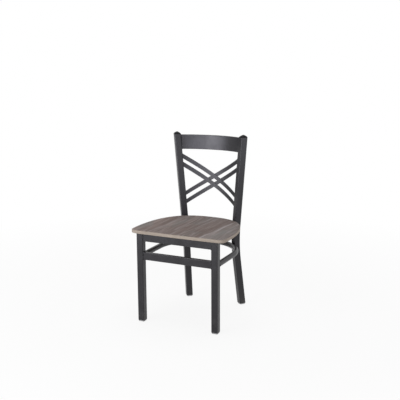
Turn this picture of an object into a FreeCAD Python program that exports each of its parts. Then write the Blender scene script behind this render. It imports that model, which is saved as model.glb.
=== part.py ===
"""Cross back dining chair: welded steel tube frame, crossed back bars and a wooden seat.

Millimetres, +Z up. The chair faces -Y, so left and right are as seen from the front.
The origin is on the floor, under the middle of the chair's outer box.
While the pieces are made, y = 0 is the front face of the front legs.
"""
import FreeCAD
import Part
import math
import os

Vector = FreeCAD.Vector
UP = Vector(0, 0, 1)
LEFT = -1
RIGHT = 1
SIDE_NAMES = {LEFT: "left", RIGHT: "right"}

# Square tube of the legs and posts
TUBE = 31.8
TUBE_WALL = 1.5
TUBE_CORNER = 4.0

# Overall sizes
FRONT_WIDTH = 410.3
SEAT_HEIGHT = 444.0
BACK_HEIGHT = 404.0

# Back posts: each is bent once, in an upright plane that passes the middle of the ring
POST_TURN = 38.0
POST_BEND_HEIGHT = 329.0
POST_BEND_RADIUS = 860.0
POST_LOWER_ANGLE = 9.1
POST_UPPER_ANGLE = 2.3
POST_SIDE_LEAN = 4.1

# Front rails
RAIL_HEIGHT = 36.0
RAIL_DEPTH = 15.0
RAIL_WALL = 1.5
RAIL_CORNER = 2.0
RAIL_SET_BACK = 3.9
RAIL_GAP = 52.2

# Horseshoe rings: straight from the front legs, then a half circle past the posts
# The round section is turned so that its seam lies underneath
STRETCHER_RING_TUBE = 25.4
SEAT_RING_TUBE = 20.0
RING_WALL = 1.5
RING_INSET = 13.9
RING_STRAIGHT = 171.1
RING_RISE = 14.0
RING_NOTCH = 0.8
SEAM_TURN = 90.0

# Seat board
SEAT_THICKNESS = 16.0
SEAT_SIDE_OVERHANG = 33.3
SEAT_FRONT_OVERHANG = 4.4
SEAT_FRONT_BOW = 3.2
SEAT_FRONT_TAPER = 6.9
SEAT_WIDEST_Y = 46.9
SEAT_REAR_REACH = 11.8
SEAT_REAR_POWER = 2.56
SEAT_CORNER_RADIUS = 27.0
SEAT_TOP_EASING = 2.5
SEAT_LOWER_EASING = 3.2
SEAT_CURVE_STEPS = 9

# Crest rail and crossed bars, all rolled to one radius
BACK_RADIUS = 250.0
CREST_HEIGHT = 71.0
CREST_DEPTH = 12.0
CREST_WALL = 1.5
CREST_CORNER = 2.0
CREST_DROP = 2.5
CREST_SET_BACK = 3.5
BAR_WIDTH = 19.0
BAR_THICKNESS = 3.0
BAR_SET_BACK = 10.5
BAR_SPACING = 41.8
BAR_BELOW_CREST = 36.2
BAR_ABOVE_SEAT = 109.8
BAR_BOW = 0.8
BAR_CURVE_STEPS = 6

# Plastic caps and glides
CAP_RISE = 12.0
CAP_LIP = 1.5
CAP_CLOSING = 0.95
CAP_CROWN_ROUNDNESS = 0.9
CAP_STEPS = 6
PLUG_LENGTH = 15.0
GLIDE_HEIGHT = 6.0
GLIDE_WIDTH = 29.0
GLIDE_CORNER = 5.0
GLIDE_EASING = 2.0

# Tabs and screws that hold the seat
TAB_WIDTH = 26.0
TAB_LENGTH = 32.0
TAB_THICKNESS = 3.0
TAB_SPREAD = 220.0
TAB_SCREW_REACH = 20.0
SCREW_SHANK = 4.0
SCREW_HEAD = 9.0
SCREW_HEAD_HEIGHT = 2.5
SCREW_BITE = 11.0
SCREW_CLEARANCE = 0.5

# Levels that follow from the sizes above
SEAT_UNDERSIDE = SEAT_HEIGHT - SEAT_THICKNESS
POST_TOP = SEAT_HEIGHT + BACK_HEIGHT
APRON_BOTTOM = SEAT_UNDERSIDE - RAIL_HEIGHT
STRETCHER_BOTTOM = APRON_BOTTOM - RAIL_GAP - RAIL_HEIGHT
RING_Z = STRETCHER_BOTTOM + RING_RISE
SEAT_RING_Z = SEAT_UNDERSIDE - SEAT_RING_TUBE / 2
CREST_TOP = POST_TOP - CREST_DROP
CREST_BOTTOM = CREST_TOP - CREST_HEIGHT
BAR_HIGH_Z = CREST_BOTTOM - BAR_BELOW_CREST
BAR_LOW_Z = SEAT_HEIGHT + BAR_ABOVE_SEAT

# Widths that follow from the sizes above
RING_RADIUS = FRONT_WIDTH / 2 - RING_INSET
SEAT_HALF_WIDTH = FRONT_WIDTH / 2 + SEAT_SIDE_OVERHANG


def slab(bottom, top):
    """Everything between two heights, as a box much larger than the chair."""
    reach = 4 * (FRONT_WIDTH + BACK_HEIGHT)
    corner = Vector(-reach / 2, -reach / 2, bottom)
    return Part.makeBox(reach, reach, top - bottom, corner)


def rounded_square(size, corner, centre, across, along):
    """Face of a square with round corners, spanned by two unit directions."""
    half = size / 2
    inner = half - corner
    slant = inner + corner * math.sqrt(0.5)
    edges = []
    for quarter in range(4):
        turn = math.radians(90 * quarter)
        u = across * math.cos(turn) + along * math.sin(turn)
        v = along * math.cos(turn) - across * math.sin(turn)
        start = centre + u * half + v * inner
        middle = centre + (u + v) * slant
        end = centre + u * inner + v * half
        edges.append(Part.LineSegment(centre + u * half - v * inner, start).toShape())
        edges.append(Part.Arc(start, middle, end).toShape())
    return Part.Face(Part.Wire(edges))


def disc(diameter, centre, axis):
    """Round face."""
    circle = Part.makeCircle(diameter / 2, centre, axis)
    return Part.Face(Part.Wire([circle]))


def swept(face, moves):
    """Carry a face along straight runs and turns, and join what it sweeps."""
    pieces = []
    for kind, *values in moves:
        if kind == "run":
            pieces.append(face.extrude(values[0]))
            face = face.translated(values[0])
        else:
            centre, axis, angle = values
            pieces.append(face.revolve(centre, axis, angle))
            face = face.rotated(centre, axis, angle)
    return pieces[0].multiFuse(pieces[1:]).removeSplitter()


def largest_solid(shape):
    """The biggest solid of a shape that a cut has left in pieces."""
    return max(shape.Solids, key=lambda solid: solid.Volume)


def is_level(edge, height):
    """True for an edge that lies at one height."""
    box = edge.BoundBox
    return box.ZLength < 0.01 and abs(box.ZMin - height) < 0.01


def post_directions(side):
    """Unit directions of a post: away from the ring, sideways, and upward in its plane."""
    turn = math.radians(POST_TURN)
    away = Vector(side * math.sin(turn), math.cos(turn), 0)
    sideways = Vector(side * math.cos(turn), -math.sin(turn), 0)
    lean = math.radians(POST_SIDE_LEAN)
    rise = UP * math.cos(lean) + sideways * math.sin(lean)
    return away, sideways, rise


def post_tangent():
    """Length from the post's bending point to either end of its bend."""
    bend = math.radians(POST_LOWER_ANGLE + POST_UPPER_ANGLE)
    return POST_BEND_RADIUS * math.tan(bend / 2)


def post_offset(height):
    """Centre line at a height, from the bending point: its climb and its way out."""
    climb = (height - POST_BEND_HEIGHT) / math.cos(math.radians(POST_SIDE_LEAN))
    lower = math.radians(POST_LOWER_ANGLE)
    upper = math.radians(POST_UPPER_ANGLE)
    tangent = post_tangent()
    start = -tangent * math.cos(lower)
    if climb <= start:
        return climb, -climb * math.tan(lower)
    if climb >= tangent * math.cos(upper):
        return climb, climb * math.tan(upper)
    bend_out = tangent * math.sin(lower) + POST_BEND_RADIUS * math.cos(lower)
    bend_climb = start + POST_BEND_RADIUS * math.sin(lower)
    return climb, bend_out - math.sqrt(POST_BEND_RADIUS ** 2 - (climb - bend_climb) ** 2)


def post_centre(side, height):
    """Centre of a post where it crosses a height; at the ring's height it meets the ring."""
    away, sideways, rise = post_directions(side)
    reach = RING_RADIUS + (STRETCHER_RING_TUBE + TUBE) / 2 - RING_NOTCH
    contact = Vector(0, TUBE + RING_STRAIGHT, RING_Z) + away * reach
    climb, out = post_offset(height)
    ring_climb, ring_out = post_offset(RING_Z)
    return contact + rise * (climb - ring_climb) + away * (out - ring_out)


def post_bar(side, size, corner_radius):
    """Bent bar along a post's centre line, reaching past the floor and the post's top."""
    away, sideways, rise = post_directions(side)
    lower = math.radians(POST_LOWER_ANGLE)
    upper = math.radians(POST_UPPER_ANGLE)
    below = rise * math.cos(lower) - away * math.sin(lower)
    above = rise * math.cos(upper) + away * math.sin(upper)
    outward = away * math.cos(lower) + rise * math.sin(lower)
    bend_axis = rise.cross(away)
    tangent = post_tangent()
    climb, out = post_offset(0)
    corner = post_centre(side, 0) - rise * climb - away * out
    start = corner - below * (POST_BEND_HEIGHT + 2 * TUBE)
    bend_start = corner - below * tangent
    above_run = above * (POST_TOP - POST_BEND_HEIGHT + 2 * TUBE - tangent)
    face = rounded_square(size, corner_radius, start, outward, bend_axis)
    moves = [
        ("run", bend_start - start),
        ("turn", bend_start + outward * POST_BEND_RADIUS, bend_axis, POST_LOWER_ANGLE + POST_UPPER_ANGLE),
        ("run", above_run),
    ]
    return swept(face, moves)


def leg_bar(side, size, corner_radius):
    """Upright bar along a front leg's centre line, from below the floor to the seat."""
    start = Vector(side * (FRONT_WIDTH - TUBE) / 2, TUBE / 2, -TUBE)
    face = rounded_square(size, corner_radius, start, Vector(1, 0, 0), Vector(0, 1, 0))
    return face.extrude(UP * (SEAT_UNDERSIDE + TUBE))


def tube_parts(bar, side, top):
    """Tube from the glide to its top, with the bars that fill its outside and its bore."""
    outside = bar(side, TUBE, TUBE_CORNER)
    bore = bar(side, TUBE - 2 * TUBE_WALL, TUBE_CORNER - TUBE_WALL)
    tube = outside.cut(bore).common(slab(GLIDE_HEIGHT, top))
    return largest_solid(tube), outside, bore


def glide(bar, side, bore):
    """Pale foot pad with a plug that is pushed up into the tube."""
    pad = bar(side, GLIDE_WIDTH, GLIDE_CORNER).common(slab(0, GLIDE_HEIGHT))
    floor_edges = [edge for edge in pad.Edges if is_level(edge, 0)]
    pad = pad.makeFillet(GLIDE_EASING, floor_edges)
    plug = bore.common(slab(GLIDE_HEIGHT, GLIDE_HEIGHT + PLUG_LENGTH))
    return pad.fuse(plug).removeSplitter()


def post_cap(side, outside, bore):
    """Cap with a thin lip and a smooth crown, on a plug that is pushed down into the post."""
    away, sideways, rise = post_directions(side)
    base_roundness = 2 * TUBE_CORNER / TUBE
    lip_share = CAP_CLOSING * CAP_LIP / CAP_RISE
    sections = []
    for step in range(CAP_STEPS + 1):
        share = step / CAP_STEPS
        centre = post_centre(side, POST_TOP + CAP_RISE * share)
        width = TUBE * (1 + lip_share ** 2 - (CAP_CLOSING * share) ** 2)
        roundness = base_roundness + (CAP_CROWN_ROUNDNESS - base_roundness) * share
        face = rounded_square(width, width / 2 * roundness, centre, away, sideways)
        sections.append(face.OuterWire)
    crown = Part.makeLoft(sections, True).common(outside)
    plug = bore.common(slab(POST_TOP - PLUG_LENGTH, POST_TOP))
    return crown.fuse(plug).removeSplitter()


def front_rail(bottom):
    """Rectangular tube between the front legs."""
    length = FRONT_WIDTH - 2 * TUBE
    corner = Vector(-length / 2, RAIL_SET_BACK, bottom)
    outside = Part.makeBox(length, RAIL_DEPTH, RAIL_HEIGHT, corner)
    long_edges = [edge for edge in outside.Edges if edge.BoundBox.XLength > length / 2]
    outside = outside.makeFillet(RAIL_CORNER, long_edges)
    bore_corner = corner + Vector(0, RAIL_WALL, RAIL_WALL)
    bore_depth = RAIL_DEPTH - 2 * RAIL_WALL
    bore_height = RAIL_HEIGHT - 2 * RAIL_WALL
    return outside.cut(Part.makeBox(length, bore_depth, bore_height, bore_corner))


def ring_centre_y(tube, height):
    """Centre of the half circle that just bites into both posts at a height."""
    post = post_centre(RIGHT, height)
    reach = RING_RADIUS + (tube + TUBE) / 2 - RING_NOTCH
    return post.y - math.sqrt(reach ** 2 - post.x ** 2)


def ring_sweep(tube, height, bore):
    """Round bar or tube from one front leg round the back of the ring to the other leg."""
    centre = Vector(0, ring_centre_y(tube, height), height)
    start = Vector(-RING_RADIUS, TUBE, height)
    run = Vector(0, centre.y - TUBE, 0)
    along = Vector(0, 1, 0)
    face = disc(tube, start, along)
    if bore:
        face = face.cut(disc(bore, start, along)).Faces[0]
    face = face.rotated(start, along, SEAM_TURN)
    return swept(face, [("run", run), ("turn", centre, UP, -180), ("run", run * -1)])


def ring(tube, height, posts):
    """Horseshoe tube, notched where it meets the back posts."""
    shape = ring_sweep(tube, height, tube - 2 * RING_WALL)
    return between_posts(shape, posts)


def between_posts(shape, posts):
    """Trim what runs into the posts so that it butts on them."""
    for post in posts:
        shape = shape.cut(post)
    return largest_solid(shape)


def mirrored(point):
    """The same point on the other side of the chair."""
    return Vector(-point.x, point.y, point.z)


def seat_side_point(step):
    """Point on the seat's right edge, from its widest place round towards the rear."""
    angle = math.pi / 2 * step / SEAT_CURVE_STEPS
    power = 2 / SEAT_REAR_POWER
    rear_y = post_centre(RIGHT, SEAT_HEIGHT).y + SEAT_REAR_REACH
    x = SEAT_HALF_WIDTH * math.cos(angle) ** power
    y = SEAT_WIDEST_Y + (rear_y - SEAT_WIDEST_Y) * math.sin(angle) ** power
    return Vector(x, y, SEAT_UNDERSIDE)


def seat_blank():
    """D-shaped board with square edges and sharp front corners."""
    front_y = -SEAT_FRONT_OVERHANG
    corner = Vector(SEAT_HALF_WIDTH - SEAT_FRONT_TAPER, front_y, SEAT_UNDERSIDE)
    half_way = (front_y + SEAT_WIDEST_Y) / 2
    easing_in = Vector(SEAT_HALF_WIDTH - SEAT_FRONT_TAPER / 4, half_way, SEAT_UNDERSIDE)
    right = [corner, easing_in] + [seat_side_point(step) for step in range(SEAT_CURVE_STEPS)]
    rear = seat_side_point(SEAT_CURVE_STEPS)
    rear.x = 0
    left = [mirrored(point) for point in reversed(right)]
    side_curve = Part.BSplineCurve()
    side_curve.interpolate(right + [rear] + left)
    bow = Vector(0, front_y - SEAT_FRONT_BOW, SEAT_UNDERSIDE)
    front_curve = Part.Arc(mirrored(corner), bow, corner)
    outline = Part.Wire([side_curve.toShape(), front_curve.toShape()])
    return Part.Face(outline).extrude(UP * SEAT_THICKNESS)


def is_seat_corner(edge):
    """True for an edge that runs straight up through the seat board."""
    box = edge.BoundBox
    return box.ZLength > SEAT_THICKNESS / 2 and box.XLength + box.YLength < SEAT_THICKNESS / 2


def seat_board(screw_places):
    """Wooden seat with round front corners, eased edges and screw holes underneath."""
    board = seat_blank()
    corners = [edge for edge in board.Edges if is_seat_corner(edge)]
    board = board.makeFillet(SEAT_CORNER_RADIUS, corners)
    top_edges = [edge for edge in board.Edges if is_level(edge, SEAT_HEIGHT)]
    board = board.makeFillet(SEAT_TOP_EASING, top_edges)
    lower_edges = [edge for edge in board.Edges if is_level(edge, SEAT_UNDERSIDE)]
    board = board.makeFillet(SEAT_LOWER_EASING, lower_edges)
    for place in screw_places:
        board = board.cut(Part.makeCylinder(SCREW_SHANK / 2, SCREW_BITE, place))
    return board


def drilled_tab(middle_x, base_y, reach, screw_y):
    """Steel tab, flush with the seat's underside, from its base to its free end."""
    low_y = min(base_y, base_y + reach)
    corner = Vector(middle_x - TAB_WIDTH / 2, low_y, SEAT_UNDERSIDE - TAB_THICKNESS)
    tab = Part.makeBox(TAB_WIDTH, abs(reach), TAB_THICKNESS, corner)
    place = Vector(middle_x, screw_y, SEAT_UNDERSIDE)
    below = place - UP * TAB_THICKNESS
    hole = Part.makeCylinder(SCREW_SHANK / 2 + SCREW_CLEARANCE, TAB_THICKNESS, below)
    return tab.cut(hole), place


def front_tab(side):
    """Tab behind the apron, and the place of its screw."""
    base_y = RAIL_SET_BACK + RAIL_DEPTH
    return drilled_tab(side * TAB_SPREAD / 2, base_y, TAB_LENGTH, base_y + TAB_SCREW_REACH)


def rear_tab(side, seat_ring_bar):
    """Tab inside the seat ring, shaped to it, and the place of its screw."""
    middle_x = side * TAB_SPREAD / 2
    base_y = ring_centre_y(SEAT_RING_TUBE, SEAT_RING_Z)
    base_y += math.sqrt(RING_RADIUS ** 2 - middle_x ** 2)
    inside_y = base_y - SEAT_RING_TUBE / 2
    reach = -(SEAT_RING_TUBE / 2 + TAB_LENGTH)
    tab, place = drilled_tab(middle_x, base_y, reach, inside_y - TAB_SCREW_REACH)
    return largest_solid(tab.cut(seat_ring_bar)), place


def seat_screw(place):
    """Wood screw: domed head under the tab and a shank up into the board."""
    head_base = place - UP * TAB_THICKNESS
    shank = Part.makeCylinder(SCREW_SHANK / 2, TAB_THICKNESS + SCREW_BITE, head_base)
    low_point = head_base - UP * SCREW_HEAD_HEIGHT
    head = Part.makeCylinder(SCREW_HEAD / 2, SCREW_HEAD_HEIGHT, low_point)
    rims = [edge for edge in head.Edges if is_level(edge, low_point.z)]
    head = head.makeFillet(SCREW_HEAD_HEIGHT / 2, rims)
    return head.fuse(shank).removeSplitter()


def back_joint(height, set_back):
    """Point on the right post's inner face, at a depth behind the post's front face."""
    away, sideways, rise = post_directions(RIGHT)
    face_middle = post_centre(RIGHT, height) - sideways * (TUBE / 2)
    return face_middle - away * (TUBE / 2 - set_back)


def rolled_axis(set_back, low, high):
    """Foot and direction of the axis that the back is rolled round.

    It leans so that what is rolled keeps one depth in the posts from low to high.
    """
    centres = []
    for height in (low, high):
        joint = back_joint(height, set_back)
        drop = math.sqrt(BACK_RADIUS ** 2 - joint.x ** 2)
        centres.append(Vector(0, joint.y - drop, height))
    return centres[0], (centres[1] - centres[0]).normalize()


def rolled_wall(set_back, low, high, skin, depth):
    """Rear half of a tube rolled to the back's radius.

    The skin is how far behind the front of the rolled layers this one starts.
    """
    centre, lean = rolled_axis(set_back, low, high)
    foot = centre - lean * (TUBE + CREST_HEIGHT)
    length = high - low + 2 * (TUBE + CREST_HEIGHT)
    inner = Part.makeCylinder(BACK_RADIUS + skin, length, foot, lean)
    outer = Part.makeCylinder(BACK_RADIUS + skin + depth, length, foot, lean)
    size = 4 * BACK_RADIUS
    rear = Part.makeBox(size, size, POST_TOP + size, Vector(-size / 2, centre.y + TUBE, -TUBE))
    return outer.cut(inner).common(rear)


def crest_band(inset):
    """Everything between the crest's edges, which lie square to its leaning axis."""
    lean = rolled_axis(CREST_SET_BACK, CREST_BOTTOM, CREST_TOP)[1]
    tilt = math.degrees(math.atan2(lean.y, lean.z))
    band = slab(inset, CREST_HEIGHT - inset)
    band = band.rotated(Vector(0, 0, 0), Vector(1, 0, 0), -tilt)
    joint = back_joint(CREST_BOTTOM, CREST_SET_BACK)
    return band.translated(Vector(0, joint.y, CREST_BOTTOM))


def crest_rail(posts):
    """Tall curved box-section rail at the top of the back."""
    middle_x = post_centre(RIGHT, (CREST_TOP + CREST_BOTTOM) / 2).x
    size = 4 * BACK_RADIUS
    span = Part.makeBox(2 * middle_x, size, size, Vector(-middle_x, 0, CREST_BOTTOM - size / 2))
    wall = rolled_wall(CREST_SET_BACK, CREST_BOTTOM, CREST_TOP, 0, CREST_DEPTH)
    outside = wall.common(crest_band(0)).common(span)
    long_edges = [edge for edge in outside.Edges if edge.Length > middle_x]
    outside = outside.makeFillet(CREST_CORNER, long_edges)
    bore = rolled_wall(
        CREST_SET_BACK, CREST_BOTTOM, CREST_TOP, CREST_WALL, CREST_DEPTH - 2 * CREST_WALL
    )
    bore = bore.common(crest_band(CREST_WALL))
    return between_posts(outside.cut(bore), posts)


def bar_edge(high_side, high_z, low_z, lift):
    """Curve along one edge of a crossed bar, seen from the front, past both its joints."""
    high_angle = math.asin(back_joint(high_z, BAR_SET_BACK).x / BACK_RADIUS)
    low_angle = math.asin(back_joint(low_z, BAR_SET_BACK).x / BACK_RADIUS)
    slope = (high_z - low_z) / (high_angle + low_angle)
    overshoot = TUBE / 2 / BACK_RADIUS
    points = []
    for step in range(BAR_CURVE_STEPS + 1):
        along = step / BAR_CURVE_STEPS
        angle = high_angle + overshoot - along * (high_angle + low_angle + 2 * overshoot)
        z = high_z - (high_angle - angle) * slope
        z += BAR_BOW * (1 - (2 * along - 1) ** 2) + lift
        points.append(Vector(high_side * BACK_RADIUS * math.sin(angle), 0, z))
    curve = Part.BSplineCurve()
    curve.interpolate(points)
    return curve.toShape(), points[0], points[-1]


def cross_bar(high_side, drop, layer, posts):
    """Flat bar from high on one post to low on the other, in the front or rear layer."""
    high_z = BAR_HIGH_Z - drop
    low_z = BAR_LOW_Z - drop
    reach = back_joint(high_z, BAR_SET_BACK).x + back_joint(low_z, BAR_SET_BACK).x
    arc = 2 * BACK_RADIUS * math.asin(reach / 2 / BACK_RADIUS)
    lift = BAR_WIDTH / 2 * math.sqrt(1 + ((high_z - low_z) / arc) ** 2)
    top, top_start, top_end = bar_edge(high_side, high_z, low_z, lift)
    bottom, bottom_start, bottom_end = bar_edge(high_side, high_z, low_z, -lift)
    start_cut = Part.LineSegment(bottom_start, top_start).toShape()
    end_cut = Part.LineSegment(top_end, bottom_end).toShape()
    outline = Part.Wire(Part.__sortEdges__([top, end_cut, bottom, start_cut]))
    band = Part.Face(outline).extrude(Vector(0, 4 * BACK_RADIUS, 0))
    skin = layer * BAR_THICKNESS
    wall = rolled_wall(BAR_SET_BACK, BAR_LOW_Z - BAR_SPACING, BAR_HIGH_Z, skin, BAR_THICKNESS)
    return between_posts(wall.common(band), posts)


def build():
    """All the nodes of the chair, by name, before the origin is set."""
    nodes = {}
    posts = []
    for side, name in SIDE_NAMES.items():
        nodes["front_leg_" + name], outside, bore = tube_parts(leg_bar, side, SEAT_UNDERSIDE)
        nodes["glide_front_" + name] = glide(leg_bar, side, bore)
        nodes["back_post_" + name], outside, bore = tube_parts(post_bar, side, POST_TOP)
        nodes["glide_rear_" + name] = glide(post_bar, side, bore)
        nodes["post_cap_" + name] = post_cap(side, outside, bore)
        posts.append(outside)

    nodes["front_apron"] = front_rail(APRON_BOTTOM)
    nodes["front_stretcher"] = front_rail(STRETCHER_BOTTOM)
    nodes["stretcher_ring"] = ring(STRETCHER_RING_TUBE, RING_Z, posts)
    nodes["seat_ring"] = ring(SEAT_RING_TUBE, SEAT_RING_Z, posts)

    nodes["crest_rail"] = crest_rail(posts)
    for row, drop in (("upper", 0.0), ("lower", BAR_SPACING)):
        nodes["cross_bar_falling_" + row] = cross_bar(LEFT, drop, 0, posts)
        nodes["cross_bar_rising_" + row] = cross_bar(RIGHT, drop, 1, posts)

    screw_places = []
    seat_ring_bar = ring_sweep(SEAT_RING_TUBE, SEAT_RING_Z, 0)
    for side, name in SIDE_NAMES.items():
        nodes["seat_tab_front_" + name], front_place = front_tab(side)
        nodes["seat_tab_rear_" + name], rear_place = rear_tab(side, seat_ring_bar)
        screw_places += [front_place, rear_place]
    nodes["seat_board"] = seat_board(screw_places)
    nodes["seat_screws"] = Part.makeCompound([seat_screw(place) for place in screw_places])
    return nodes


def origin_shift(nodes):
    """Move that brings the middle of the chair's outer box over the origin."""
    box = Part.makeCompound(list(nodes.values())).optimalBoundingBox()
    return Vector(0, -(box.YMin + box.YMax) / 2, 0)


def main():
    """Build every node, set the origin and write one file for each."""
    os.makedirs("parts", exist_ok=True)
    nodes = build()
    shift = origin_shift(nodes)
    print("origin shift", round(shift.y, 4))
    for name, shape in nodes.items():
        shape.translate(shift)
        shape.exportStep("parts/" + name + ".step")
        print(name, len(shape.Solids), round(shape.Volume), shape.isValid())


main()
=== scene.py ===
"""Cross back dining chair: the finishes, welds and screws of its frame, in a plain studio.

Metres, +Z up. The chair faces -Y and stands on the floor at z = 0.
"""
import math

import bpy
from bpy.props import FloatProperty, FloatVectorProperty, PointerProperty
from bpy.types import Operator, Panel, PropertyGroup
from mathutils import Matrix, Vector


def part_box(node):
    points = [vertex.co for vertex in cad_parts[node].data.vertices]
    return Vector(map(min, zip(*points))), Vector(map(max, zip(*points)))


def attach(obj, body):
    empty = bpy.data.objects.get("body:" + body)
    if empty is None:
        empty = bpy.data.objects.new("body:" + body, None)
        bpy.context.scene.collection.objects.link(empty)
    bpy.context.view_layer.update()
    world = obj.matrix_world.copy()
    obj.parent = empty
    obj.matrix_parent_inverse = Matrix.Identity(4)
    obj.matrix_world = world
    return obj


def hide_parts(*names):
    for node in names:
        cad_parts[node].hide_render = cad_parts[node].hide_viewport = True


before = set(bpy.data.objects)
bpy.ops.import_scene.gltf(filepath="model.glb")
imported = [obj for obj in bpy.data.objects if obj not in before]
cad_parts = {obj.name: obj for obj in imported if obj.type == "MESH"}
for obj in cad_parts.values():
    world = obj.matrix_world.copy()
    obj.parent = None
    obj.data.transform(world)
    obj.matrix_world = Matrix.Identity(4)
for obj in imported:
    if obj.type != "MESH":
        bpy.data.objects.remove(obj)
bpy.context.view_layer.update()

bl_info = {
    "name": "Cross Back Chair",
    "version": (1, 0, 0),
    "blender": (4, 5, 0),
    "location": "3D View > Sidebar > Chair",
    "description": "Finishes, welds, screws and a studio for a welded cross back chair",
    "category": "Object",
}

LEFT = -1
RIGHT = 1
SIDE_NAMES = {LEFT: "left", RIGHT: "right"}
FORWARD = Vector((0, -1, 0))
WHITE = (1.0, 1.0, 1.0)
BLACK = (0.0, 0.0, 0.0)

# Pieces of the chair, by kind
UPRIGHTS = ["front_leg_left", "front_leg_right", "back_post_left", "back_post_right"]
RAILS = ["front_apron", "front_stretcher"]
RINGS = ["stretcher_ring", "seat_ring"]
BARS = [
    "cross_bar_falling_upper",
    "cross_bar_falling_lower",
    "cross_bar_rising_upper",
    "cross_bar_rising_lower",
]
TABS = [
    "seat_tab_front_left",
    "seat_tab_front_right",
    "seat_tab_rear_left",
    "seat_tab_rear_right",
]
CAPS = ["post_cap_left", "post_cap_right"]
GLIDES = ["glide_front_left", "glide_front_right", "glide_rear_left", "glide_rear_right"]

# Turn of the back posts about the upright, which the faces that butt on them share
POST_TURN = math.radians(38)

# Seat board: levels, and how far in from each the core gives way to the surface
SEAT_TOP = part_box("seat_board")[1].z
SEAT_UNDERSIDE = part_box("seat_board")[0].z
FACE_ENDS = (0.0006, 0.0014)
UNDERSIDE_ENDS = (0.0002, 0.0008)

# Planks of the seat's face: reach across the seat, wander and slant
PLANKS_LEFT = -0.245
PLANKS_RIGHT = 0.255
PLANK_WANDER = 0.016
PLANK_SLANT = 0.09

# Pale lines between planks: middle and strength of each, and how far each fades to either side
PALE_LINES = [(0.27, 0.4), (0.58, 0.4), (0.80, 1.0)]
LINE_FADE_LEFT = 0.024
LINE_FADE_RIGHT = 0.012

# Heights between which dust thins out on the frame, and scuffs on the glides
DUST_TOP = 0.10
DUST_FULL = 0.008
SCUFF_TOP = 0.0028
SCUFF_FULL = 0.0004

# How squarely a face has to look in a direction, as the cosine of the angle between them
FACING = 0.93

# Welds: shape of a ripple, its place beside the joint's edge, and the fewest round a joint
RIPPLE_SHAPE = (0.62, 1.0, 0.86)
RIPPLE_OFFSET = 0.25
FEWEST_RIPPLES = 6

# Seat screws: the head's rounding as a share of its height, the cross recess's width as a share
# of the head's, the thickness of the blade that cuts it as a share of that width, the blade's
# size at its tip, the turns that the screws stop at, and the sharpest edge that is shaded smooth
HEAD_ROUNDING = 0.6
RECESS_WIDTH = 0.56
BLADE_THICKNESS = 0.2
BLADE_TIP = (0.45, 0.7, 1.0)
FIRST_TURN = 0.7
NEXT_TURN = 1.1
SHARPEST_SMOOTH = math.radians(35)

# Studio: floor, its darker mottles, the distances between which its glow grows full,
# the tint of the mirrored panels and the width of the camera's sensor in mm
FLOOR_SIZE = 30.0
FLOOR_GAP = 0.0002
FLOOR_MOTTLE = 0.98
GLOW_STARTS = 0.7
GLOW_FULL = 2.2
PANEL_TINT = (0.90, 0.92, 1.0)
SENSOR_WIDTH = 36.0


def colour(name, description, default):
    """A colour that a user may change."""
    return FloatVectorProperty(
        name=name,
        description=description,
        default=default,
        size=3,
        min=0.0,
        max=1.0,
        subtype="COLOR",
    )


def length(name, description, default):
    """A length in metres that a user may change."""
    return FloatProperty(name=name, description=description, default=default, unit="LENGTH")


def share(name, description, default):
    """A plain number from nothing to one."""
    return FloatProperty(
        name=name, description=description, default=default, min=0.0, max=1.0, subtype="FACTOR"
    )


def angle(name, description, degrees):
    """An angle, given in degrees."""
    return FloatProperty(
        name=name, description=description, default=math.radians(degrees), unit="ROTATION"
    )


def power(name, description, watts):
    """The power of a lamp."""
    return FloatProperty(
        name=name, description=description, default=watts, min=0.0, unit="POWER"
    )


class ChairFinishes(PropertyGroup):
    """Colours and gloss of the chair's surfaces."""

    coating: colour("Coating", "Ground of the frame's powder coating", (0.0080, 0.0076, 0.0086))
    coating_haze: colour("Coating haze", "Lighter clouds in it", (0.0135, 0.0128, 0.0145))
    coating_fleck: colour("Coating fleck", "Finest pale grains in it", (0.11, 0.112, 0.12))
    coating_dust: colour("Dust", "Dust on the frame near the floor", (0.10, 0.095, 0.088))
    coating_roughness: share("Coating roughness", "Roughness of the powder coating", 0.34)
    crest_brushing: share("Crest brushing", "Relief of the rubbed lines along the crest rail", 0.5)
    wood_warm: colour("Wood, warm", "Browner planks of the seat's face", (0.243, 0.190, 0.174))
    wood_grey: colour("Wood, grey", "Greyer planks of the seat's face", (0.228, 0.200, 0.190))
    wood_dark: colour("Wood, dark", "Darker grain of the seat's face", (0.128, 0.093, 0.081))
    wood_cool: colour("Wood, cool", "Greenish grey clouds of the face", (0.180, 0.186, 0.178))
    wood_light: colour("Wood, light", "Bleached streaks of the face", (0.375, 0.340, 0.338))
    wood_pore: colour("Wood, pores", "Finest dark lines of the face", (0.10, 0.075, 0.064))
    edge_light: colour("Edge, light", "Ground of the seat's edge", (0.465, 0.395, 0.340))
    edge_dark: colour("Edge, dark", "Grain of the seat's edge", (0.32, 0.275, 0.235))
    under_light: colour("Underside, light", "Ground of the seat's underside", (0.30, 0.24, 0.19))
    under_dark: colour("Underside, dark", "Grain of the seat's underside", (0.21, 0.165, 0.13))
    cap: colour("Cap", "Plastic of the post caps", (0.0045, 0.0045, 0.005))
    cap_haze: colour("Cap haze", "Lighter clouds in the post caps", (0.009, 0.009, 0.0095))
    glide: colour("Glide", "Plastic of the foot glides", (0.47, 0.47, 0.48))
    glide_haze: colour("Glide haze", "Darker clouds in the glides", (0.40, 0.40, 0.41))
    glide_scuff: colour("Scuffs", "Worn places low on the glides", (0.24, 0.225, 0.205))
    screw: colour("Screw", "Zinc plating of the seat screws", (0.66, 0.645, 0.60))
    screw_haze: colour("Screw haze", "Bluish clouds in the plating", (0.58, 0.60, 0.64))


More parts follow.
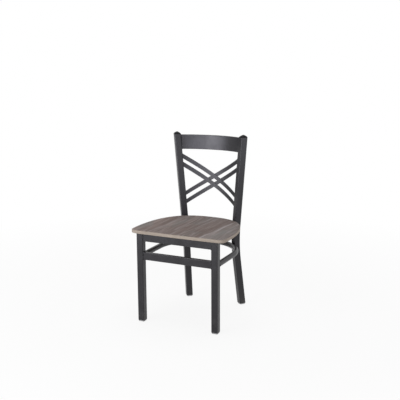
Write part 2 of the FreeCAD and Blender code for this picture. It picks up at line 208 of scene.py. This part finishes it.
class ChairWelds(PropertyGroup):
    """Sizes of the weld beads."""

    rail_bead: length("Rail bead", "Half width of the beads round the front rails", 0.0021)
    ring_bead: length("Ring bead", "Half width of the beads round the ring tubes", 0.0021)
    crest_bead: length("Crest bead", "Half width of the beads at the crest rail's ends", 0.0017)
    bar_bead: length("Bar bead", "Half width of the beads at the crossed bars' ends", 0.0013)
    tab_bead: length("Tab bead", "Half width of the beads at the seat tabs", 0.0015)
    ripple: share("Ripple", "Distance between ripples, as a share of the bead's width", 0.36)


class ChairScrews(PropertyGroup):
    """Sizes of the seat screws."""

    head: length("Head", "Diameter of a screw's head", 0.009)
    head_height: length("Head height", "Height of a screw's head", 0.0025)
    shank: length("Shank", "Diameter of a screw's shank", 0.004)
    recess: length("Recess", "Depth of the cross recess in a screw's head", 0.0014)


class ChairStudio(PropertyGroup):
    """Camera, lamps and floor."""

    yaw: angle("Yaw", "Camera's turn to the right of the chair's front", 25.54)
    pitch: angle("Pitch", "Camera's tilt downward", 12.13)
    roll: angle("Roll", "Camera's turn about its own line of sight", -0.284)
    distance: length("Distance", "From the camera to the aim point", 3.476)
    aim_x: length("Aim X", "Aim point, to the right", 0.0257)
    aim_y: length("Aim Y", "Aim point, to the rear", -0.0189)
    aim_z: length("Aim Z", "Aim point's height", 0.5655)
    lens: FloatProperty(name="Lens", description="Focal length", default=66.9, unit="CAMERA")
    sky: share("Sky", "Strength of the light from all round", 0.42)
    key: power("Key", "Front lamp", 28.0)
    fill: power("Fill", "Side lamp", 5.0)
    top: power("Top", "Overhead lamp", 22.0)
    front_sheen: power("Front sheen", "Panel mirrored from the front", 94.0)
    side_sheen: power("Side sheen", "Panel mirrored from the side", 18.0)
    floor: share("Floor tone", "Whiteness of the floor", 0.95)
    floor_glow: share("Floor glow", "How plain white the floor round the chair looks", 0.88)


def deselect_all():
    """Leave nothing selected."""
    for thing in bpy.context.selected_objects:
        thing.select_set(False)


def new_material(name):
    """New material with a surface shader; returns it, its tree and the shader."""
    material = bpy.data.materials.new(name)
    material.use_nodes = True
    tree = material.node_tree
    return material, tree, tree.nodes["Principled BSDF"]


def feed(tree, socket, value):
    """Give a socket a value, or a link from another node's output."""
    if isinstance(value, bpy.types.NodeSocket):
        tree.links.new(value, socket)
    elif socket.type == "RGBA":
        socket.default_value = (*value, 1.0)
    else:
        socket.default_value = value


def add(tree, kind, settings=None, **inputs):
    """New node of a kind; settings are its own values and inputs its sockets by name."""
    made = tree.nodes.new("ShaderNode" + kind)
    for key, value in (settings or {}).items():
        setattr(made, key, value)
    for key, value in inputs.items():
        feed(tree, made.inputs[key.replace("_", " ")], value)
    return made


def finish(tree, shader, tone, roughness, relief):
    """Join a surface's patterns to its shader."""
    feed(tree, shader.inputs["Base Color"], tone)
    feed(tree, shader.inputs["Roughness"], roughness)
    feed(tree, shader.inputs["Normal"], relief)


def place(tree, scale=(1, 1, 1), move=(0, 0, 0), turn=(0, 0, 0)):
    """Object coordinates, stretched, turned and moved for a pattern."""
    where = add(tree, "TexCoord").outputs["Object"]
    placed = add(tree, "Mapping", Vector=where, Scale=scale, Location=move, Rotation=turn)
    return placed.outputs["Vector"]


def noise(tree, where, scale=1.0, detail=4.0, roughness=0.55, distortion=0.0):
    """Cloudy pattern between 0 and 1."""
    made = add(
        tree,
        "TexNoise",
        Vector=where,
        Scale=scale,
        Detail=detail,
        Roughness=roughness,
        Distortion=distortion,
    )
    return made.outputs["Fac"]


def grain(tree, across, along, detail, roughness=0.55, distortion=0.0, move=(0, 0, 0)):
    """Cloudy pattern drawn out along the seat's planks, with a fineness for each direction."""
    where = place(tree, (across, along, across), move)
    return noise(tree, where, detail=detail, roughness=roughness, distortion=distortion)


def spread(tree, value, low, high, new_low=0.0, new_high=1.0):
    """Stretch a value from one range to another, and hold it there."""
    made = add(
        tree,
        "MapRange",
        Value=value,
        From_Min=low,
        From_Max=high,
        To_Min=new_low,
        To_Max=new_high,
    )
    return made.outputs["Result"]


def blend(tree, factor, first, second):
    """Mix two colours."""
    made = add(tree, "Mix", {"data_type": "RGBA"})
    feed(tree, made.inputs[0], factor)
    feed(tree, made.inputs[6], first)
    feed(tree, made.inputs[7], second)
    return made.outputs[2]


def stain(tree, ground, tone, pattern, low, high, most=1.0):
    """Lay a tone on a ground, from none where a pattern is low to the most where it is high."""
    return blend(tree, spread(tree, pattern, low, high, 0.0, most), ground, tone)


def maths(tree, operation, first, second):
    """One sum on two values."""
    made = add(tree, "Math", {"operation": operation})
    feed(tree, made.inputs[0], first)
    feed(tree, made.inputs[1], second)
    return made.outputs[0]


def times(tree, first, second):
    """Two values multiplied."""
    return maths(tree, "MULTIPLY", first, second)


def ramp(tree, factor, stops, interpolation):
    """Colour ramp through stops of place and colour."""
    made = add(tree, "ValToRGB", Fac=factor)
    made.color_ramp.interpolation = interpolation
    elements = made.color_ramp.elements
    elements.remove(elements[1])
    elements[0].position = stops[0][0]
    elements[0].color = (*stops[0][1], 1.0)
    for position, tone in stops[1:]:
        elements.new(position).color = (*tone, 1.0)
    return made.outputs["Color"]


def bump(tree, height, strength, distance, under=None):
    """Surface relief from a height, on top of another relief where there is one."""
    made = add(tree, "Bump", Height=height, Strength=strength, Distance=distance)
    if under is not None:
        feed(tree, made.inputs["Normal"], under)
    return made.outputs["Normal"]


def axis_value(tree, where, axis):
    """One coordinate of a vector."""
    return add(tree, "SeparateXYZ", Vector=where).outputs[axis]


def powder_coating(name, brushing):
    """Dark satin powder coating: fine orange peel, faint clouds and some dust near the floor."""
    look = bpy.context.scene.chair_finishes
    material, tree, shader = new_material(name)
    where = place(tree)
    clouds = noise(tree, where, scale=9.0, detail=3.0)
    peel = noise(tree, where, scale=620.0, detail=2.0, roughness=0.5)
    grit = noise(tree, where, scale=2400.0, detail=2.0, roughness=0.6)
    smears = noise(tree, where, scale=26.0, detail=4.0)
    settled = spread(tree, noise(tree, where, scale=34.0, detail=5.0), 0.42, 0.75)
    near_floor = spread(tree, axis_value(tree, where, "Z"), DUST_TOP, DUST_FULL)
    dust = times(tree, near_floor, settled)

    tone = stain(tree, look.coating, look.coating_haze, clouds, 0.35, 0.68)
    tone = stain(tree, tone, look.coating_fleck, grit, 0.62, 0.8, most=0.25)
    tone = blend(tree, times(tree, dust, 0.35), tone, look.coating_dust)
    smoothest = look.coating_roughness - 0.05
    roughest = look.coating_roughness + 0.06
    rough = spread(tree, smears, 0.3, 0.7, smoothest, roughest)
    rough = maths(tree, "ADD", rough, times(tree, dust, 0.12))
    relief = bump(tree, peel, strength=0.12, distance=0.00015)
    relief = bump(tree, grit, strength=0.05, distance=0.00003, under=relief)
    if brushing > 0:
        rubbed = noise(tree, place(tree, (5.0, 5.0, 300.0)), detail=4.0, roughness=0.6)
        relief = bump(tree, rubbed, strength=brushing, distance=0.0005, under=relief)
    finish(tree, shader, tone, rough, relief)
    shader.inputs["Specular IOR Level"].default_value = 0.4
    shader.inputs["Specular Tint"].default_value = (0.97, 0.95, 1.0, 1.0)
    return material


def place_across(tree, where):
    """Place across the seat's planks, from 0 at the left to 1 at the right."""
    bend = noise(tree, place(tree, (1.0, 3.0, 1.0)), scale=2.2, detail=1.0)
    across = maths(tree, "ADD", axis_value(tree, where, "X"), times(tree, bend, PLANK_WANDER))
    slant = times(tree, axis_value(tree, where, "Y"), PLANK_SLANT)
    return spread(tree, maths(tree, "SUBTRACT", across, slant), PLANKS_LEFT, PLANKS_RIGHT)


def plank_tones(tree, across):
    """Colour of each plank of the seat's face, by its place across the seat."""
    look = bpy.context.scene.chair_finishes
    warm = Vector(look.wood_warm)
    grey = Vector(look.wood_grey)
    planks = [
        (0.0, warm * 1.10),
        (0.13, warm * 0.92),
        (0.27, warm.lerp(grey, 0.35) * 1.04),
        (0.42, warm * 0.80),
        (0.58, warm.lerp(grey, 0.25) * 0.86),
        (0.79, grey * 1.15),
        (0.87, grey * 0.95),
    ]
    return ramp(tree, across, planks, "CONSTANT")


def pale_lines(tree, across):
    """Strength of the broken pale lines that run between some of the planks."""
    stops = [(0.0, BLACK)]
    for middle, strength in PALE_LINES:
        stops.append((middle - LINE_FADE_LEFT, BLACK))
        stops.append((middle, (strength,) * 3))
        stops.append((middle + LINE_FADE_RIGHT, BLACK))
    breaks = spread(tree, grain(tree, 30.0, 5.0, detail=3.0), 0.36, 0.55)
    return times(tree, ramp(tree, across, stops, "LINEAR"), breaks)


def seat_face(tree, where, streaks, fine):
    """Colour of the seat's planked upper face."""
    look = bpy.context.scene.chair_finishes
    broad = grain(tree, 55.0, 3.4, detail=3.0, roughness=0.5, distortion=0.6)
    patches = grain(tree, 13.0, 5.5, detail=3.0, roughness=0.5, distortion=1.0)
    hues = grain(tree, 16.0, 6.0, detail=3.0, distortion=0.8, move=(5.0, 2.0, 0.0))
    across = place_across(tree, where)
    face = plank_tones(tree, across)
    face = stain(tree, face, look.wood_dark, broad, 0.46, 0.68, most=0.55)
    face = stain(tree, face, look.wood_dark, patches, 0.5, 0.7, most=0.6)
    face = stain(tree, face, look.wood_cool, hues, 0.52, 0.72, most=0.6)
    face = stain(tree, face, look.wood_light, streaks, 0.5, 0.68, most=0.6)
    face = stain(tree, face, look.wood_pore, fine, 0.5, 0.72, most=0.5)
    return blend(tree, pale_lines(tree, across), face, look.wood_light)


def seat_edge(tree, where):
    """Colour of the seat's pale edge, with its grain running round it."""
    look = bpy.context.scene.chair_finishes
    layers = noise(
        tree, place(tree, (9.0, 9.0, 420.0)), detail=5.0, roughness=0.6, distortion=0.2
    )
    patches = noise(tree, where, scale=16.0, detail=2.0)
    edge = stain(tree, look.edge_light, look.edge_dark, layers, 0.42, 0.7, most=0.75)
    return stain(tree, edge, look.edge_dark, patches, 0.5, 0.75, most=0.4)


def seat_wood():
    """Grey-brown planked face over a pale core, which shows at the seat's edge."""
    look = bpy.context.scene.chair_finishes
    material, tree, shader = new_material("seat_wood")
    where = place(tree)
    height = axis_value(tree, where, "Z")
    streaks = grain(
        tree, 90.0, 4.6, detail=5.0, roughness=0.6, distortion=1.2, move=(3.0, 0.0, 0.0)
    )
    fine = grain(tree, 380.0, 9.0, detail=4.0, roughness=0.6)

    near, far = FACE_ENDS
    on_face = spread(tree, height, SEAT_TOP - far, SEAT_TOP - near)
    tone = blend(tree, on_face, seat_edge(tree, where), seat_face(tree, where, streaks, fine))
    near, far = UNDERSIDE_ENDS
    on_underside = spread(tree, height, SEAT_UNDERSIDE + far, SEAT_UNDERSIDE + near)
    underside = stain(tree, look.under_light, look.under_dark, streaks, 0.4, 0.7)
    tone = blend(tree, on_underside, tone, underside)
    rough = spread(tree, streaks, 0.3, 0.7, 0.62, 0.76)
    relief = bump(tree, streaks, strength=0.18, distance=0.0004)
    relief = bump(tree, fine, strength=0.16, distance=0.00015, under=relief)
    finish(tree, shader, tone, rough, relief)
    shader.inputs["Specular IOR Level"].default_value = 0.07
    return material


def cap_plastic():
    """Black moulded plastic, half gloss, with a faint moulded grain."""
    look = bpy.context.scene.chair_finishes
    material, tree, shader = new_material("cap_plastic")
    where = place(tree)
    clouds = noise(tree, where, scale=60.0)
    smears = noise(tree, where, scale=180.0)
    pebbles = noise(tree, where, scale=1400.0, detail=2.0)
    tone = stain(tree, look.cap, look.cap_haze, clouds, 0.4, 0.7)
    rough = spread(tree, smears, 0.35, 0.7, 0.4, 0.52)
    relief = bump(tree, pebbles, strength=0.12, distance=0.0001)
    finish(tree, shader, tone, rough, relief)
    shader.inputs["Specular IOR Level"].default_value = 0.08
    return material


def glide_plastic():
    """Pale moulded plastic, scuffed where it meets the floor."""
    look = bpy.context.scene.chair_finishes
    material, tree, shader = new_material("glide_plastic")
    where = place(tree)
    clouds = spread(tree, noise(tree, where, scale=40.0), 0.35, 0.7)
    scuffs = noise(tree, place(tree, (160.0, 160.0, 900.0)), detail=5.0, roughness=0.65)
    near_floor = spread(tree, axis_value(tree, where, "Z"), SCUFF_TOP, SCUFF_FULL)
    worn = times(tree, near_floor, spread(tree, scuffs, 0.4, 0.65))
    tone = blend(tree, clouds, look.glide, look.glide_haze)
    tone = blend(tree, times(tree, worn, 0.7), tone, look.glide_scuff)
    rough = spread(tree, clouds, 0.0, 1.0, 0.42, 0.58)
    relief = bump(tree, scuffs, strength=0.15, distance=0.0002)
    finish(tree, shader, tone, rough, relief)
    return material


def zinc_steel():
    """Zinc plated steel: cloudy, faintly blue and yellow, with fine scratches."""
    look = bpy.context.scene.chair_finishes
    material, tree, shader = new_material("zinc_steel")
    clouds = noise(tree, place(tree), scale=900.0, detail=3.0)
    lines = place(tree, (2600.0, 700.0, 2600.0), turn=(0.0, 0.0, 0.6))
    scratches = noise(tree, lines, detail=4.0, roughness=0.6)
    tone = stain(tree, look.screw, look.screw_haze, clouds, 0.35, 0.65)
    rough = spread(tree, scratches, 0.35, 0.7, 0.28, 0.46)
    relief = bump(tree, scratches, strength=0.2, distance=0.00004)
    finish(tree, shader, tone, rough, relief)
    shader.inputs["Metallic"].default_value = 1.0
    return material


def dress(names, material):
    """Give CAD nodes a material."""
    for name in names:
        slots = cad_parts[name].data.materials
        slots.clear()
        slots.append(material)


class CHAIR_OT_coat_frame(Operator):
    """Powder coat the legs, posts, rails, rings, bars and tabs"""

    bl_idname = "chair.coat_frame"
    bl_label = "Coat the Frame"

    def execute(self, context):
        brushing = context.scene.chair_finishes.crest_brushing
        coated = UPRIGHTS + RAILS + RINGS + BARS + TABS
        dress(coated, powder_coating("powder_coating", 0.0))
        dress(["crest_rail"], powder_coating("crest_coating", brushing))
        return {"FINISHED"}


class CHAIR_OT_finish_seat(Operator):
    """Face the seat board with grey-brown planks over a pale edge"""

    bl_idname = "chair.finish_seat"
    bl_label = "Finish the Seat"

    def execute(self, context):
        dress(["seat_board"], seat_wood())
        return {"FINISHED"}


class CHAIR_OT_finish_plastic(Operator):
    """Mould the black post caps and the pale glides"""

    bl_idname = "chair.finish_plastic"
    bl_label = "Finish Caps and Glides"

    def execute(self, context):
        dress(CAPS, cap_plastic())
        dress(GLIDES, glide_plastic())
        return {"FINISHED"}


def flat_face(node, direction, side):
    """Corners and normal of a node's largest flat face that looks in a direction, on one side."""
    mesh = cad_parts[node].data
    groups = {}
    for face in mesh.polygons:
        if face.normal.dot(direction) > FACING and face.center.x * side >= 0:
            key = [round(value, 2) for value in face.normal]
            key.append(round(face.normal.dot(face.center), 4))
            groups.setdefault(tuple(key), []).append(face)
    if not groups:
        raise RuntimeError("no flat face on " + node)
    faces = max(groups.values(), key=lambda group: sum(face.area for face in group))
    corners = [mesh.vertices[index].co.copy() for face in faces for index in face.vertices]
    return corners, faces[0].normal.copy()


def turn_of(first, second, third):
    """Positive where three flat points turn to the left."""
    ahead = (second[0] - first[0], second[1] - first[1])
    beyond = (third[0] - first[0], third[1] - first[1])
    return ahead[0] * beyond[1] - ahead[1] * beyond[0]


def outline(corners, normal):
    """Outermost corners of a flat face, in order round it."""
    across = normal.orthogonal().normalized()
    up = normal.cross(across)
    flat = sorted({(round(point.dot(across), 5), round(point.dot(up), 5)) for point in corners})
    rows = []
    for points in (flat, list(reversed(flat))):
        row = []
        for point in points:
            while len(row) > 1 and turn_of(row[-2], row[-1], point) <= 0:
                row.pop()
            row.append(point)
        rows += row[:-1]
    level = corners[0].dot(normal)
    return [across * x + up * y + normal * level for x, y in rows]


def stations(loop, spacing):
    """Evenly spaced places round a closed loop, each with the direction of travel."""
    runs = [(loop[i], loop[(i + 1) % len(loop)]) for i in range(len(loop))]
    whole = sum((end - start).length for start, end in runs)
    step = whole / max(FEWEST_RIPPLES, round(whole / spacing))
    found = []
    waiting = step / 2
    for start, end in runs:
        run = (end - start).length
        while waiting <= run:
            found.append((start.lerp(end, waiting / run), (end - start).normalized()))
            waiting += step
        waiting -= run
    return found


def make_droplet(radius):
    """One ripple of a weld: a low round drop, squeezed along the bead."""
    deselect_all()
    bpy.ops.mesh.primitive_uv_sphere_add(segments=8, ring_count=5, radius=radius)
    bpy.ops.object.mode_set(mode="EDIT")
    bpy.ops.mesh.select_all(action="SELECT")
    bpy.ops.transform.resize(value=RIPPLE_SHAPE)
    bpy.ops.object.mode_set(mode="OBJECT")
    bpy.ops.object.shade_smooth()
    return bpy.context.object


def copy_of(piece, move):
    """Copy a piece, with a mesh of its own that is moved by a matrix."""
    copy = piece.copy()
    copy.data = piece.data.copy()
    copy.data.transform(move)
    bpy.context.collection.objects.link(copy)
    return copy


def lay_bead(joints, radius, ripple):
    """Ripples round each flat joint, where its outline meets the surface it butts on."""
    droplet = make_droplet(radius)
    drops = []
    for corners, normal in joints:
        loop = outline(corners, normal)
        middle = sum(loop, Vector()) / len(loop)
        for where, ahead in stations(loop, 2 * radius * ripple):
            outward = ahead.cross(normal)
            if outward.dot(where - middle) < 0:
                outward.negate()
            facing = Matrix((ahead, outward, ahead.cross(outward))).transposed()
            home = where + (outward - normal) * radius * RIPPLE_OFFSET
            drops.append(copy_of(droplet, Matrix.Translation(home) @ facing.to_4x4()))
    bpy.data.objects.remove(droplet)
    return drops


def join(name, parts, material):
    """Make one piece of several, dress it and fix it to the chair."""
    deselect_all()
    for part in parts:
        part.select_set(True)
    bpy.context.view_layer.objects.active = parts[0]
    bpy.ops.object.join()
    piece = bpy.context.object
    piece.name = name
    bpy.ops.object.mode_set(mode="EDIT")
    bpy.ops.mesh.select_all(action="SELECT")
    bpy.ops.mesh.normals_make_consistent(inside=False)
    bpy.ops.object.mode_set(mode="OBJECT")
    piece.data.materials.clear()
    piece.data.materials.append(material)
    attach(piece, "root")
    return piece


def weld(name, joints, radius):
    """One piece that holds the beads of a group of joints."""
    drops = lay_bead(joints, radius, bpy.context.scene.chair_welds.ripple)
    join(name, drops, bpy.data.materials["powder_coating"])


class CHAIR_OT_weld_front(Operator):
    """Weld the apron and the stretcher between the front legs"""

    bl_idname = "chair.weld_front"
    bl_label = "Weld the Front Rails"

    def execute(self, context):
        joints = []
        for rail in RAILS:
            for side in SIDE_NAMES:
                joints.append(flat_face(rail, Vector((side, 0, 0)), side))
        weld("welds_front_rails", joints, context.scene.chair_welds.rail_bead)
        return {"FINISHED"}


class CHAIR_OT_weld_rings(Operator):
    """Weld the horseshoe rings to the front legs and to the posts"""

    bl_idname = "chair.weld_rings"
    bl_label = "Weld the Rings"

    def execute(self, context):
        joints = []
        for ring in RINGS:
            for side in SIDE_NAMES:
                outward = Vector((side * math.sin(POST_TURN), math.cos(POST_TURN), 0))
                joints.append(flat_face(ring, FORWARD, side))
                joints.append(flat_face(ring, outward, side))
        weld("welds_rings", joints, context.scene.chair_welds.ring_bead)
        return {"FINISHED"}


class CHAIR_OT_weld_back(Operator):
    """Weld the crest rail and the crossed bars between the posts"""

    bl_idname = "chair.weld_back"
    bl_label = "Weld the Back"

    def execute(self, context):
        welds = context.scene.chair_welds
        bars = []
        for side, side_name in SIDE_NAMES.items():
            to_post = Vector((side * math.cos(POST_TURN), -math.sin(POST_TURN), 0))
            crest = flat_face("crest_rail", to_post, side)
            weld("welds_crest_" + side_name, [crest], welds.crest_bead)
            for bar in BARS:
                bars.append(flat_face(bar, to_post, side))
        weld("welds_cross_bars", bars, welds.bar_bead)
        return {"FINISHED"}


class CHAIR_OT_weld_tabs(Operator):
    """Weld the front seat tabs behind the apron"""

    bl_idname = "chair.weld_tabs"
    bl_label = "Weld the Seat Tabs"

    def execute(self, context):
        joints = []
        for side, side_name in SIDE_NAMES.items():
            joints.append(flat_face("seat_tab_front_" + side_name, FORWARD, side))
        weld("welds_seat_tabs", joints, context.scene.chair_welds.tab_bead)
        return {"FINISHED"}


def pick(piece, wanted):
    """Go to edit mode with only the faces selected that a test wants."""
    bpy.ops.object.mode_set(mode="OBJECT")
    bpy.context.tool_settings.mesh_select_mode = (False, False, True)
    for part in (piece.data.vertices, piece.data.edges, piece.data.polygons):
        part.foreach_set("select", [False] * len(part))
    for face in piece.data.polygons:
        face.select = wanted(face)
    bpy.ops.object.mode_set(mode="EDIT")


def looks_up(face):
    """Whether a face looks straight up."""
    return face.normal.z > FACING


def looks_down(face):
    """Whether a face looks straight down."""
    return face.normal.z < -FACING


def make_cutter(depth, width, turn):
    """Blade that cuts one slot of the cross recess, and narrows towards its tip."""
    deselect_all()
    bpy.ops.mesh.primitive_cube_add(size=1.0)
    blade = bpy.context.object
    blade.data.transform(Matrix.Diagonal((width, width * BLADE_THICKNESS, depth * 2, 1.0)))
    pick(blade, looks_up)
    bpy.ops.transform.resize(value=BLADE_TIP)
    bpy.ops.object.mode_set(mode="OBJECT")
    blade.data.transform(Matrix.Rotation(turn, 4, "Z"))
    return blade


def cut(piece, cutter):
    """Take a cutter's shape out of a piece, and the cutter away."""
    deselect_all()
    bpy.context.view_layer.objects.active = piece
    piece.select_set(True)
    taken = piece.modifiers.new("recess", "BOOLEAN")
    taken.operation = "DIFFERENCE"
    taken.object = cutter
    bpy.ops.object.modifier_apply(modifier=taken.name)
    bpy.data.objects.remove(cutter)


def make_screw(sizes, rise):
    """Pan head screw that points up, its head's outer face at the origin, with a cross recess."""
    deselect_all()
    bpy.ops.mesh.primitive_cylinder_add(
        vertices=32,
        radius=sizes.head / 2,
        depth=sizes.head_height,
        location=(0.0, 0.0, sizes.head_height / 2),
    )
    screw = bpy.context.object
    screw.data.transform(Matrix.Translation(screw.location))
    screw.location = (0.0, 0.0, 0.0)
    pick(screw, looks_up)
    bpy.ops.mesh.inset(thickness=(sizes.head - sizes.shank) / 2)
    bpy.ops.mesh.extrude_region_move(TRANSFORM_OT_translate={"value": (0.0, 0.0, rise)})
    pick(screw, looks_down)
    bpy.ops.mesh.bevel(offset=sizes.head_height * HEAD_ROUNDING, segments=6, affect="EDGES")
    bpy.ops.object.mode_set(mode="OBJECT")
    for turn in (0.0, math.pi / 2):
        cut(screw, make_cutter(sizes.recess, sizes.head * RECESS_WIDTH, turn))
    bpy.ops.object.shade_smooth_by_angle(angle=SHARPEST_SMOOTH)
    return screw


def screw_places():
    """Middle of each seat screw, seen from above."""
    groups = {}
    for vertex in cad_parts["seat_screws"].data.vertices:
        groups.setdefault((vertex.co.x > 0, vertex.co.y > 0), []).append(vertex.co)
    places = []
    for points in groups.values():
        across = [point.x for point in points]
        along = [point.y for point in points]
        places.append(((min(across) + max(across)) / 2, (min(along) + max(along)) / 2))
    return sorted(places)


class CHAIR_OT_drive_screws(Operator):
    """Drive the four screws that hold the seat up through its tabs"""

    bl_idname = "chair.drive_screws"
    bl_label = "Drive the Seat Screws"

    def execute(self, context):
        low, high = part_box("seat_screws")
        sizes = context.scene.chair_screws
        screw = make_screw(sizes, high.z - low.z - sizes.head_height)
        driven = []
        for count, (across, along) in enumerate(screw_places()):
            turn = Matrix.Rotation(FIRST_TURN + NEXT_TURN * count, 4, "Z")
            driven.append(copy_of(screw, Matrix.Translation((across, along, low.z)) @ turn))
        bpy.data.objects.remove(screw)
        piece = join("seat_screw_set", driven, zinc_steel())
        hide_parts("seat_screws")
        return {"FINISHED"}


def mix_shaders(tree, factor, first, second):
    """Blend two shaders."""
    mixed = add(tree, "MixShader")
    feed(tree, mixed.inputs[0], factor)
    feed(tree, mixed.inputs[1], first)
    feed(tree, mixed.inputs[2], second)
    return mixed.outputs[0]


def white_to_lens(tree, lit, white):
    """Show the white shader to rays that look or mirror, and the lit one to rays that light."""
    rays = add(tree, "LightPath").outputs
    seen = maths(tree, "MAXIMUM", rays["Is Camera Ray"], rays["Is Glossy Ray"])
    seen = maths(tree, "MAXIMUM", seen, rays["Is Transmission Ray"])
    return mix_shaders(tree, seen, lit, white)


def floor_material(studio):
    """Faintly mottled matt white that keeps a soft shadow near the chair."""
    material, tree, shader = new_material("studio_floor")
    shader.inputs["Roughness"].default_value = 0.9
    shader.inputs["Specular IOR Level"].default_value = 0.1
    where = place(tree)
    light = (studio.floor,) * 3
    dark = (studio.floor * FLOOR_MOTTLE,) * 3
    mottle = noise(tree, where, scale=1.5, detail=2.0)
    feed(tree, shader.inputs["Base Color"], stain(tree, light, dark, mottle, 0.3, 0.7))
    glow = add(tree, "Emission", Color=WHITE, Strength=1.0).outputs[0]
    away = add(tree, "VectorMath", {"operation": "LENGTH"}, Vector=where).outputs["Value"]
    glowing = spread(tree, away, GLOW_STARTS, GLOW_FULL, studio.floor_glow, 1.0)
    white = mix_shaders(tree, glowing, shader.outputs[0], glow)
    shown = white_to_lens(tree, shader.outputs[0], white)
    feed(tree, tree.nodes["Material Output"].inputs["Surface"], shown)
    return material


def lay_floor(studio):
    """Pale floor under the chair."""
    deselect_all()
    bpy.ops.mesh.primitive_plane_add(size=FLOOR_SIZE)
    floor = bpy.context.object
    floor.name = "studio_floor"
    floor.location.z = -FLOOR_GAP
    floor.data.materials.append(floor_material(studio))


def light_sky(studio):
    """White backdrop for the lens, and even soft light on the chair."""
    world = bpy.data.worlds.new("studio_world")
    bpy.context.scene.world = world
    world.use_nodes = True
    tree = world.node_tree
    soft = tree.nodes["Background"]
    feed(tree, soft.inputs["Color"], WHITE)
    feed(tree, soft.inputs["Strength"], studio.sky)
    white = add(tree, "Background", Color=WHITE, Strength=1.0)
    shown = white_to_lens(tree, soft.outputs[0], white.outputs[0])
    feed(tree, tree.nodes["World Output"].inputs["Surface"], shown)


def hang_lamp(name, watts, size, where, aim):
    """Soft rectangular lamp that faces a point."""
    deselect_all()
    bpy.ops.object.light_add(type="AREA", location=where)
    lamp = bpy.context.object
    lamp.name = name
    lamp.data.energy = watts
    lamp.data.shape = "RECTANGLE"
    lamp.data.size, lamp.data.size_y = size
    facing = (Vector(aim) - Vector(where)).to_track_quat("-Z", "Y")
    lamp.rotation_euler = facing.to_euler()
    return lamp


def hang_panel(name, watts, size, where, aim):
    """Faintly blue lamp that only shows where surfaces mirror it."""
    panel = hang_lamp(name, watts, size, where, aim)
    panel.data.color = PANEL_TINT
    panel.visible_diffuse = False


def hang_lamps(studio):
    """Three soft lamps that light the chair, and two panels for its sheen."""
    hang_lamp(
        "key_lamp",
        studio.key,
        size=(1.9, 1.7),
        where=(-1.0, -2.5, 1.05),
        aim=(0.0, 0.1, 0.7),
    )
    hang_lamp(
        "side_lamp",
        studio.fill,
        size=(1.4, 1.7),
        where=(2.3, -1.6, 1.05),
        aim=(0.0, 0.1, 0.6),
    )
    hang_lamp(
        "top_lamp",
        studio.top,
        size=(2.0, 2.0),
        where=(0.0, 0.2, 2.7),
        aim=(0.0, 0.0, 0.4),
    )
    hang_panel(
        "front_sheen",
        studio.front_sheen,
        size=(4.9, 1.1),
        where=(-0.27, -2.3, 1.0),
        aim=(0.0, 0.1, 0.75),
    )
    hang_panel(
        "side_sheen",
        studio.side_sheen,
        size=(1.5, 1.5),
        where=(2.5, 0.3, 0.85),
        aim=(0.0, 0.1, 0.7),
    )


def set_camera(studio):
    """Camera at the photograph's angle."""
    aim = Vector((studio.aim_x, studio.aim_y, studio.aim_z))
    turn = Matrix.Rotation(studio.yaw, 4, "Z")
    turn = turn @ Matrix.Rotation(math.pi / 2 - studio.pitch, 4, "X")
    turn = turn @ Matrix.Rotation(studio.roll, 4, "Z")
    back = turn @ Vector((0.0, 0.0, 1.0))
    bpy.ops.object.camera_add(location=aim + back * studio.distance, rotation=turn.to_euler())
    camera = bpy.context.object
    camera.name = "studio_camera"
    camera.data.sensor_width = SENSOR_WIDTH
    camera.data.lens = studio.lens
    camera.data.dof.use_dof = False
    bpy.context.scene.camera = camera


class CHAIR_OT_set_stage(Operator):
    """Set up the floor, the light and the camera"""

    bl_idname = "chair.set_stage"
    bl_label = "Set the Stage"

    def execute(self, context):
        studio = context.scene.chair_studio
        lay_floor(studio)
        light_sky(studio)
        hang_lamps(studio)
        set_camera(studio)
        context.scene.view_settings.view_transform = "Standard"
        return {"FINISHED"}


class CHAIR_PT_cross_back(Panel):
    """Lists the chair's steps and settings, in order"""

    bl_label = "Cross Back Chair"
    bl_idname = "CHAIR_PT_cross_back"
    bl_space_type = "VIEW_3D"
    bl_region_type = "UI"
    bl_category = "Chair"

    def draw(self, context):
        for step in STEPS:
            self.layout.operator(step.bl_idname)
        for group in SETTINGS:
            settings = getattr(context.scene, group)
            box = self.layout.box()
            for name in settings.__annotations__:
                box.prop(settings, name)


SETTINGS = {
    "chair_finishes": ChairFinishes,
    "chair_welds": ChairWelds,
    "chair_screws": ChairScrews,
    "chair_studio": ChairStudio,
}
STEPS = [
    CHAIR_OT_coat_frame,
    CHAIR_OT_finish_seat,
    CHAIR_OT_finish_plastic,
    CHAIR_OT_weld_front,
    CHAIR_OT_weld_rings,
    CHAIR_OT_weld_back,
    CHAIR_OT_weld_tabs,
    CHAIR_OT_drive_screws,
    CHAIR_OT_set_stage,
]
CLASSES = [*SETTINGS.values(), *STEPS, CHAIR_PT_cross_back]


def register():
    """Add the classes and the settings."""
    for item in CLASSES:
        bpy.utils.register_class(item)
    for name, group in SETTINGS.items():
        setattr(bpy.types.Scene, name, PointerProperty(type=group))


def unregister():
    """Take the settings and the classes away."""
    for name in SETTINGS:
        delattr(bpy.types.Scene, name)
    for item in reversed(CLASSES):
        bpy.utils.unregister_class(item)


def main():
    """Build the chair's looks, in order."""
    register()
    bpy.ops.chair.coat_frame()
    bpy.ops.chair.finish_seat()
    bpy.ops.chair.finish_plastic()
    bpy.ops.chair.weld_front()
    bpy.ops.chair.weld_rings()
    bpy.ops.chair.weld_back()
    bpy.ops.chair.weld_tabs()
    bpy.ops.chair.drive_screws()
    bpy.ops.chair.set_stage()


if __name__ == "__main__":
    main()
